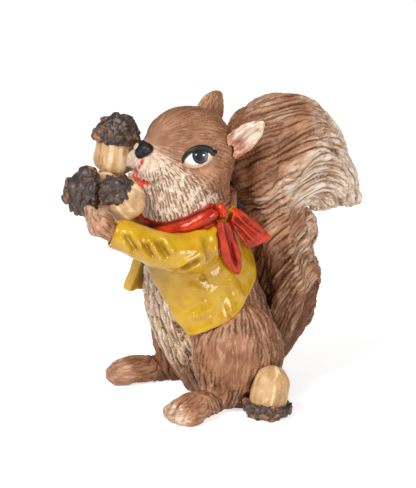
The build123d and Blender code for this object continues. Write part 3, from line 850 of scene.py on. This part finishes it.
# The eyeball's bulge at its middle, and the squared distance over which it falls by a millimetre
EYE_BULGE, EYE_FALL = 0.35, 20.0
EYE_GRID = 41

# The almond: half its width, its shift, its rise and drop, and the line through its corners
ALMOND_HALF_WIDTH, ALMOND_SHIFT = 3.95, -0.2
ALMOND_RISE, ALMOND_DROP = 2.6, 2.2
CORNER_RIGHT, CORNER_UP, CORNER_SLOPE = -4.2, -1.15, 0.195

LASH_POINTS, LID_POINTS = 24, 20


def eye_spots():
    """The middles of both eyes in the head's frame."""
    spot = to_head(EYE_CENTRE)
    return spot, spot * MIRROR


def almond(x, y):
    """Where a point of the unit disc lies in the eye's almond, in millimetres right and up."""
    right = ALMOND_HALF_WIDTH * x + ALMOND_SHIFT
    corner_line = CORNER_UP + (right - CORNER_RIGHT) * CORNER_SLOPE
    bulge = np.where(y > 0, ALMOND_RISE, ALMOND_DROP) * y * np.abs(y) ** 0.25
    return right, corner_line + bulge


def eye_point(right, up, lift, side):
    """A point on the eyeball's bulge, lifted off it; the right eye mirrors the left in the head's frame."""
    bulge = EYE_BULGE + lift - (right**2 + up**2) / EYE_FALL
    point = EYE_CENTRE + np.outer(right, EYE_RIGHT) + np.outer(up, EYE_UP) + np.outer(bulge, EYE_OUT)
    if side < 0:
        point = from_head(to_head(point - FAR_EYE_SINK * EYE_OUT) * MIRROR)
    return point


def make_eyeball(side, name):
    """A painted almond with a wall behind its edge."""
    n = EYE_GRID
    u, v = np.meshgrid(np.linspace(-1, 1, n), np.linspace(-1, 1, n), indexing="ij")
    x, y = u * np.sqrt(1 - v**2 / 2), v * np.sqrt(1 - u**2 / 2)
    right, up = (c.ravel() for c in almond(x, y))
    front = eye_point(right, up, 0.0, side)
    back = eye_point(right * 0.8, up * 0.8, -2.0, side)
    index = np.arange(n * n).reshape(n, n)
    sheet = np.stack([index[:-1, :-1], index[1:, :-1], index[1:, 1:], index[:-1, 1:]], -1).reshape(-1, 4)
    edge = np.concatenate([index[:-1, 0], index[-1, :-1], index[:0:-1, -1], index[0, :0:-1]])
    after = np.roll(edge, -1)
    wall = np.stack([after, edge, edge + n * n, after + n * n], 1)
    quads = np.concatenate([sheet, sheet[:, ::-1] + n * n, wall])
    if side < 0:
        quads = quads[:, ::-1]
    skin = Skin(np.concatenate([front, back]), quads, 0.2)
    disc = np.hypot(x, y).ravel()
    values = {
        "iris": np.hypot((right - 0.5) / 2.1, (up - 0.35) / 2.35),
        "glint": np.minimum(np.hypot(right + 0.6, up - 0.5) / 0.22, np.hypot(right - 1.35, up - 0.3) / 0.3),
        "rim": ease(0.62, 0.82, disc) * ease(0.2, -0.2, y.ravel()),
    }
    skin.values = {key: np.concatenate([value, value]) for key, value in values.items()}
    skin.piece(f"{name}_eyeball", EYE, "eye", [f"{name}_eye"])


def make_bar(name, line, radii, material, slot):
    """A round bar of varying thickness as a piece."""
    volume = Volume(line.min(0) - 1.2, line.max(0) + 1.2, voxel=0.13)
    volume.add(volume.rod(line, radii))
    skin = volume.skin(blur=1, relax=1)
    skin.values = {"ridge": 0.5, "groove": 0.0, "pale": 0.45, "shade": 0.0, "red": 0.0}
    skin.piece(name, material, slot, [])


def make_lids(side, name):
    """The lash line above an eye, flicked up at its outer corner, and the lid below it."""
    angles = np.radians(np.linspace(-6, 192, LASH_POINTS))
    right, up = almond(np.cos(angles), np.sin(angles))
    right[0] += 0.7
    up[0] += 0.75
    radii = np.interp(angles, [0, 0.6, 2.2, 3.3], [0.6, 0.85, 0.65, 0.3])
    make_bar(f"{name}_lash_line", eye_point(right, up, 0.15, side), radii, BLACK, "eye")
    angles = np.radians(np.linspace(196, 352, LID_POINTS))
    right, up = almond(np.cos(angles), np.sin(angles))
    make_bar(f"{name}_lower_lid", eye_point(right, up, -0.05, side), np.full(LID_POINTS, 0.38), FUR, "fur")


# Nose, teeth, ears and paws

# In the head's frame: the nose's middle, its lobes as eggs with their blends, and the teeth
NOSE_MIDDLE = (0.9, -15.2, 1.2)
NOSE_LOBES = [
    ((-0.3, -15.4, 1.9), (1.5, 1.5, 1.3), SHARP),
    ((2.2, -14.9, 1.8), (1.5, 1.6, 1.4), 1.6),
    ((1.0, -15.9, -0.1), (1.4, 1.4, 1.4), 2.2),
]
TEETH = (2.2, 3.4)
TOOTH_RADII = (0.65, 0.5, 1.0)

# In the head's frame: the left ear's way up and its facing; the leaves' widths as shares of the CAD ones
EAR_WAY = np.array([0.34, 0.42, 0.84])
EAR_FACING = np.array([0.95, -0.2, 0.1])
EAR_WIDTHS = {"left": 0.8, "right": 1.3}

# The paws are drawn in towards the wrist, which is this long.
PAW_SHARE = 0.9
WRIST_LENGTH = 3


def make_nose():
    """A black nose of three lobes, and two teeth in the open mouth."""
    centre = from_head(NOSE_MIDDLE)
    volume = Volume(centre - 5, centre + 5, voxel=0.18)
    for place, radii, blend in NOSE_LOBES:
        volume.add(volume.egg(from_head(place), radii, HEAD_TURN), blend)
    skin = volume.skin()
    skin.push(0.12 * wobble(skin.points, 3.0, 11))
    skin.relax(1)
    skin.piece("nose_tip", BLACK, "nose", ["nose"])
    teeth = Volume(centre - 9, centre + 6, voxel=0.16)
    for x in TEETH:
        teeth.add(teeth.egg(from_head([x, -15.6 + 0.3 * x, -5.6]), TOOTH_RADII, HEAD_TURN))
    teeth.skin().piece("teeth", TOOTH, "nut_tan", [])


def make_ear(side, name):
    """A leaf with carved fur, pale and a little red inside."""
    skin = skin_of(f"{name}_ear", voxel=0.24, blur=2, relax=1, margin=1.5)
    way = unit(EAR_WAY * (side, 1, 1))
    facing = EAR_FACING * (side, 1, 1)
    facing = unit(facing - way * (facing @ way))
    rearward = side * np.cross(way, facing)
    local = to_head(skin.points)
    reach = local @ rearward
    held = reach.max() if side > 0 else reach.min()
    local = local + np.outer((reach - held) * (EAR_WIDTHS[name] - 1), rearward)
    skin.points = from_head(local)
    trails = skin.trails(np.tile(HEAD_TURN @ way, (skin.count, 1)), reach=4)
    cuts = skin.carve(trails, spacing=1.0, length=5.0, width=0.36, seed=7)
    skin.push(-0.35 * cuts + 0.08 * wobble(skin.points, 1.6, 71))
    inward = to_head(skin.normals() + HEAD_SEAT) @ facing
    middle = local.mean(0)
    across = np.abs((local - middle) @ rearward)
    along = (local - middle) @ way
    inner = ease(0.1, 0.5, inward) * ease(4.2, 3.0, across)
    tip = ease(-2.5, 3.5, along + 0.5 * across)
    skin.values = {
        "ridge": 0.85,
        "groove": cuts * (0.7 - 0.3 * inner),
        "lie": directions(local, local @ rearward, local @ facing, 0.13 * local @ way),
        "pale": np.clip(ease(0.0, 0.4, inward) * (0.22 + 0.55 * tip), 0, 1),
        "shade": 0.0,
        "red": 0.2 * inner * ease(4, -4, along),
    }
    skin.piece(f"{name}_ear_leaf", FUR, "fur", [f"{name}_ear"])


def make_paw(name):
    """A small forepaw with a few carved strokes and pale fingertips."""
    skin = skin_of(f"{name}_forepaw", voxel=0.26, blur=2, relax=1)
    y = skin.points[:, 1]
    wrist = skin.points[y > y.max() - WRIST_LENGTH].mean(0)
    skin.points = wrist + PAW_SHARE * (skin.points - wrist)
    trails = skin.trails(directions(skin.points, 0.1, -0.6, 0.6), reach=4)
    cuts = skin.carve(trails, spacing=2.0, length=5.0, width=0.42, seed=8)
    skin.push(0.2 * wobble(skin.points, 2.5, 72) - 0.4 * cuts)
    skin.values = {
        "ridge": 0.8,
        "groove": cuts * 0.8,
        "lie": skin.points * (1.0, 0.3, 0.3),
        "pale": 0.02 + 0.15 * ease(-33, -36, skin.points[:, 1]),
        "shade": 0.0,
        "red": 0.0,
    }
    skin.piece(f"{name}_paw", FUR, "paw", [f"{name}_forepaw"])


# Clothes

# The collar dips at the back of the neck, within this egg.
NAPE = ((0.0, 8.0, 60.0), (20.0, 10.5, 11.0))

# Folds of the left sleeve and side, mirrored on the right: a line, a depth (negative for a ridge), a width
JACKET_CREASES = [
    ([(12.6, -31.9, 52.0), (13.7, -30.7, 49.4), (14.2, -29.3, 46.9)], 1.2, 0.8),
    ([(15.1, -27.7, 49.6), (15.8, -26.6, 47.3), (16.3, -25.4, 45.2)], 1.1, 0.75),
    ([(15.6, -24.4, 50.4), (17.3, -23.3, 47.6), (18.0, -21.9, 45.0)], 1.4, 0.9),
    ([(17.4, -19.6, 41.4), (18.6, -17.7, 42.4), (19.2, -16.3, 43.2), (19.4, -12.8, 44.4)], 1.4, 0.7),
    ([(16.8, -15.6, 40.2), (15.0, -12.6, 38.8), (14.5, -9.6, 37.2)], 0.8, 0.7),
    ([(13.5, -7.0, 52.2), (16.5, -8.4, 49.6), (17.9, -9.1, 46.0), (15.4, -7.8, 41.4)], -1.0, 0.8),
    ([(16.7, -11.3, 50.2), (18.9, -11.5, 46.8), (18.0, -10.6, 42.7)], 0.7, 1.1),
    ([(12.5, -15.0, 35.8), (14.4, -11.5, 34.4), (15.5, -7.1, 33.4)], -0.5, 1.3),
    ([(13.5, -14.0, 27.0), (14.9, -11.8, 27.8), (15.9, -7.8, 29.6)], -0.4, 1.2),
    ([(14.6, -3.0, 38.0), (15.4, -1.0, 33.0), (15.4, 1.0, 30.0)], -0.5, 1.2),
]

# Folds of the neckerchief's knot and loose ends, in the same form but not mirrored
KERCHIEF_CREASES = {
    "neckerchief_knot": [
        ([(17.8, -7.0, 56.8), (18.2, -5.4, 54.8), (17.6, -3.6, 53.4)], 0.78, 0.5175),
        ([(17.0, -5.0, 57.4), (17.8, -3.4, 55.6)], 0.65, 0.46),
    ],
    "neckerchief_lower_end": [
        ([(17.4, -5.4, 53.0), (18.0, -4.4, 48.0), (17.8, -3.0, 43.0), (17.2, -1.8, 40.0)], 1.17, 0.575),
    ],
    "neckerchief_upper_end": [
        ([(16.8, -3.0, 54.2), (16.8, 0.6, 50.6), (16.0, 4.6, 46.8)], 0.91, 0.5175),
        ([(16.4, -1.0, 54.4), (16.6, 2.6, 51.2), (15.8, 7.0, 47.6)], 0.78, 0.46),
        ([(16.4, -2.6, 51.8), (16.2, 0.4, 48.4), (15.6, 2.6, 45.8)], 0.65, 0.46),
    ],
}

# The knot is a flat fold rather than a ball.
KNOT_CENTRE = np.array([15.0, -5.4, 55.4])
KNOT_SQUASH = np.array([0.75, 0.62, 0.72])


def make_jacket():
    """The jacket and its sleeves as one creased cloth."""
    nodes = ["jacket", "left_sleeve", "right_sleeve"]
    volume = volume_of(nodes, voxel=0.34, blend=1.4)
    volume.cut(volume.egg(*NAPE), blend=0.8)
    skin = volume.skin(blur=2, relax=2)
    folds = 0.4 * wobble(skin.points * (1.0, 1.0, 0.6), 11.0, 21) + 0.14 * wobble(skin.points, 4.5, 22)
    skin.push(folds)
    pits = np.zeros(skin.count)
    for line, depth, width in JACKET_CREASES:
        for mirror in (1, -1):
            pit = skin.crease(np.array(line) * (mirror, 1, 1), depth, width)
            pits = np.maximum(pits, depth * pit)
    skin.values = {"groove": np.clip(0.55 * pits, 0, 0.7)}
    skin.piece("jacket_cloth", YELLOW, "jacket_yellow", nodes)


def make_band():
    """The rolled band round the neck, sunk into the nape behind."""
    volume = volume_of(["neckerchief_band"], voxel=0.3)
    volume.add(np.roll(volume.depth, BAND_LIFT_VOXELS, axis=2), blend=0.8)
    skin = volume.skin(relax=3)
    axis = np.array([0, -math.sin(math.radians(NECK_TILT)), math.cos(math.radians(NECK_TILT))])
    offset = skin.points - NECK_CENTRE - axis * BAND_RISE
    rise = offset @ axis
    flat = offset - np.outer(rise, axis)
    out = np.linalg.norm(flat, axis=1) - BAND_RADIUS
    around = np.arctan2(flat @ np.cross(axis, [1.0, 0, 0]), flat[:, 0])
    roll = np.arctan2(rise, out)
    behind = ease(-6.5, -2.0, skin.points[:, 1])[:, None]
    skin.points = skin.points - behind * (6.0 * unit(flat) + 3.5 * axis)
    folds = np.sin(3.2 * roll + 0.9 * np.sin(2 * around) + 0.4)
    skin.push(0.4 * folds + 0.16 * wobble(skin.points, 5.0, 31))
    # Painted shade: the troughs of the band's folds are darkened.
    skin.values = {"groove": 0.9 * ease(-0.55, -0.95, folds)}
    skin.piece("kerchief_band", RED, "kerchief_red", ["neckerchief_band"])


def make_kerchief_piece(node, creases):
    """The knot or a loose end of the neckerchief."""
    skin = skin_of(node, voxel=0.2, blur=1, relax=2, margin=2.0)
    pits = np.zeros(skin.count)
    for line, depth, width in creases:
        pits = np.maximum(pits, skin.crease(line, depth, width))
    if node == "neckerchief_knot":
        skin.points = KNOT_CENTRE + (skin.points - KNOT_CENTRE) * KNOT_SQUASH
    skin.push(0.1 * wobble(skin.points, 3.5, 32))
    skin.values = {"groove": 0.9 * pits}
    skin.piece(node.replace("neckerchief", "kerchief") + "_cloth", RED, "kerchief_red", [node])


# Acorns

# The nuts are fuller than the CAD ones by these shares, and longer by these factors.
NUT_SWELLS = {"upper_acorn": 0.2, "near_acorn": 0.26, "front_acorn": 0.1, "ground_acorn": 0.04}
NUT_STRETCHES = {"upper_acorn": 1.18, "near_acorn": 1.08, "front_acorn": 1.06, "ground_acorn": 1.06}

# The near acorn's cap is smaller and the standing acorn's cap is lower than the CAD one.
CAP_SHARES = {"near_acorn": 0.8}
CAP_HEIGHTS = {"ground_acorn": 0.74}
CAP_SCALES = 62


def make_nut(name, seed):
    """A streaked nut, narrower inside its cap."""
    rim, way, _ = ACORNS[name]
    way = unit(np.array(way))
    skin = skin_of(f"{name}_nut", voxel=0.26, blur=2, relax=2)
    offset = skin.points - np.array(rim)
    height = offset @ way
    axial = np.outer(height, way)
    swell = 1 + NUT_SWELLS[name] * (ease(1.0, -1.5, height) + 0.8 * ease(-3.0, -7.0, height))
    swell = swell - 0.15 * ease(0.2, 1.6, height)
    skin.points = np.array(rim) + swell[:, None] * (offset - axial) + NUT_STRETCHES[name] * axial
    trails = skin.trails(np.tile(way, (skin.count, 1)), reach=5)
    streak = skin.streaks(trails, length=8, width=0.9, seed=seed)
    skin.push(0.22 * wobble(skin.points, 4.5, seed) + 0.2 * (streak - 0.6))
    skin.values = {"streak": streak}
    skin.piece(f"{name}_shell", NUT, "nut_tan", [f"{name}_nut"])


def make_cap(name, seed):
    """A cap broken into tilted scales, some with worn edges."""
    rim, way, size = ACORNS[name]
    way = unit(np.array(way))
    skin = skin_of(f"{name}_cap", voxel=0.24, blur=2, relax=0)
    middle = skin.points.mean(0)
    skin.points = middle + CAP_SHARES.get(name, 1.0) * (skin.points - middle)
    skin.points[:, 2] *= CAP_HEIGHTS.get(name, 1.0)
    rng = np.random.default_rng(seed)
    seeds = skin.points[rng.choice(skin.count, CAP_SCALES, replace=False)]
    tree = search_tree(seeds)
    found = [tree.find_n(point, 2) for point in skin.points]
    owner = np.array([nearest[1] for nearest, _ in found])
    seam = np.array([second[2] - nearest[2] for nearest, second in found])
    outward = (skin.points - np.array(rim)) @ way
    tilt = rng.standard_normal((CAP_SCALES, 3))[owner]
    facet = ((skin.points - seeds[owner]) * tilt).sum(1)
    proud = rng.uniform(-0.5, 0.5, CAP_SCALES)[owner]
    height = ease(0.0, 0.5, seam) * (0.45 + 0.45 * proud + 0.4 * np.clip(facet, -1, 1))
    skin.push((skin.spread(height, 1) - 0.3 + 0.3 * wobble(skin.points, 3.2, seed + 1)) * size)
    skin.stand()
    worn = (rng.uniform(0, 1, CAP_SCALES) > 0.5)[owner] * ease(0.3, 0.8, facet)
    skin.values = {
        "groove": ease(0.3, 0.0, seam) * 0.8,
        "rust": np.clip(skin.spread(worn, 1) * (0.5 + 0.5 * ease(2.5, -0.5, outward)), 0, 1),
    }
    skin.piece(f"{name}_scales", CAP, "cap_brown", [f"{name}_cap"])


# Pieces

make_body()
make_tail()
make_head()
make_nose()
for side, name in ((1, "left"), (-1, "right")):
    make_eyeball(side, name)
    make_lids(side, name)
    make_ear(side, name)
    make_paw(name)
make_jacket()
make_band()
for node, creases in KERCHIEF_CREASES.items():
    make_kerchief_piece(node, creases)
for seed, name in enumerate(ACORNS, start=41):
    make_nut(name, seed)
    make_cap(name, seed)


# Stage: camera, floor and lights

# The photo's camera in degrees, metres and pixels: where it stands, its target and the target's pixel
CAMERA_AZIMUTH, CAMERA_ELEVATION = 65.0, 16.0
CAMERA_DISTANCE = 0.6
CAMERA_TARGET = Vector((0.0, 0.0, 0.040))
PIXELS_PER_MM = 3.7
IMAGE_WIDTH, IMAGE_HEIGHT = 416, 488
TARGET_PIXEL = (216.5, 250.93)
SENSOR = 36.0

FLOOR_HALF = 3.0
FLOOR_COLOUR = (0.9, 0.9, 0.9, 1)
FLOOR_GLOW = 0.62
SKY_STRENGTH = 0.3


def make_camera():
    """The camera at the photo's viewing angle, framed as the photo is."""
    aim = Euler((math.radians(90 - CAMERA_ELEVATION), 0, math.radians(CAMERA_AZIMUTH)))
    data = bpy.data.cameras.new("camera")
    data.sensor_width = SENSOR
    data.lens = SENSOR * PIXELS_PER_MM * CAMERA_DISTANCE / MM / IMAGE_HEIGHT
    data.shift_x = (IMAGE_WIDTH / 2 - TARGET_PIXEL[0]) / IMAGE_HEIGHT
    data.shift_y = (TARGET_PIXEL[1] - IMAGE_HEIGHT / 2) / IMAGE_HEIGHT
    camera = add_object("camera", data)
    camera.location = CAMERA_TARGET + aim.to_matrix() @ Vector((0, 0, CAMERA_DISTANCE))
    camera.rotation_euler = aim
    bpy.context.scene.camera = camera


def floor_paint():
    """Pale and matt, with a glow that only the camera and reflections see."""
    p = Paint("floor", 1.0, specular=0.0)
    p.finish(FLOOR_COLOUR)
    camera, glossy, through = (
        p.node("LightPath", f"Is {kind} Ray", {}) for kind in ("Camera", "Glossy", "Transmission")
    )
    seen = p.math("MAXIMUM", p.math("MAXIMUM", camera, glossy), through)
    glow = p.node("Emission", "Emission", {"Strength": p.math("MULTIPLY", seen, FLOOR_GLOW)})
    total = p.node("AddShader", "Shader", {0: p.shader.outputs["BSDF"], 1: glow})
    p.fill(p.nodes["Material Output"], {"Surface": total})
    return p.material


def make_floor():
    """A wide floor that keeps the shadow."""
    half = FLOOR_HALF
    corners = [(-half, -half, 0), (half, -half, 0), (half, half, 0), (-half, half, 0)]
    mesh = bpy.data.meshes.new("floor")
    mesh.from_pydata(corners, [], [(0, 1, 2, 3)])
    mesh.materials.append(floor_paint())
    floor = add_object("floor", mesh)


def make_sky():
    """Even white light from all round."""
    world = bpy.data.worlds.new("studio")
    world.use_nodes = True
    sky = world.node_tree.nodes["Background"]
    sky.inputs["Color"].default_value = (1, 1, 1, 1)
    sky.inputs["Strength"].default_value = SKY_STRENGTH
    bpy.context.scene.world = world


def make_lamp(name, place, size, power):
    """A soft square lamp that looks at the figurine, in metres and watts."""
    data = bpy.data.lights.new(name, "AREA")
    data.size = size
    data.energy = power
    lamp = add_object(name, data)
    lamp.location = place
    lamp.rotation_euler = (Vector(place) - CAMERA_TARGET).to_track_quat("Z", "Y").to_euler()


make_camera()
make_floor()
make_sky()
make_lamp("key_lamp", place=(0.25, -0.6, 0.7), size=0.35, power=6.2)
make_lamp("fill_lamp", place=(0.85, 0.05, 0.26), size=0.34, power=3.7)
bpy.context.scene.view_settings.view_transform = "Standard"
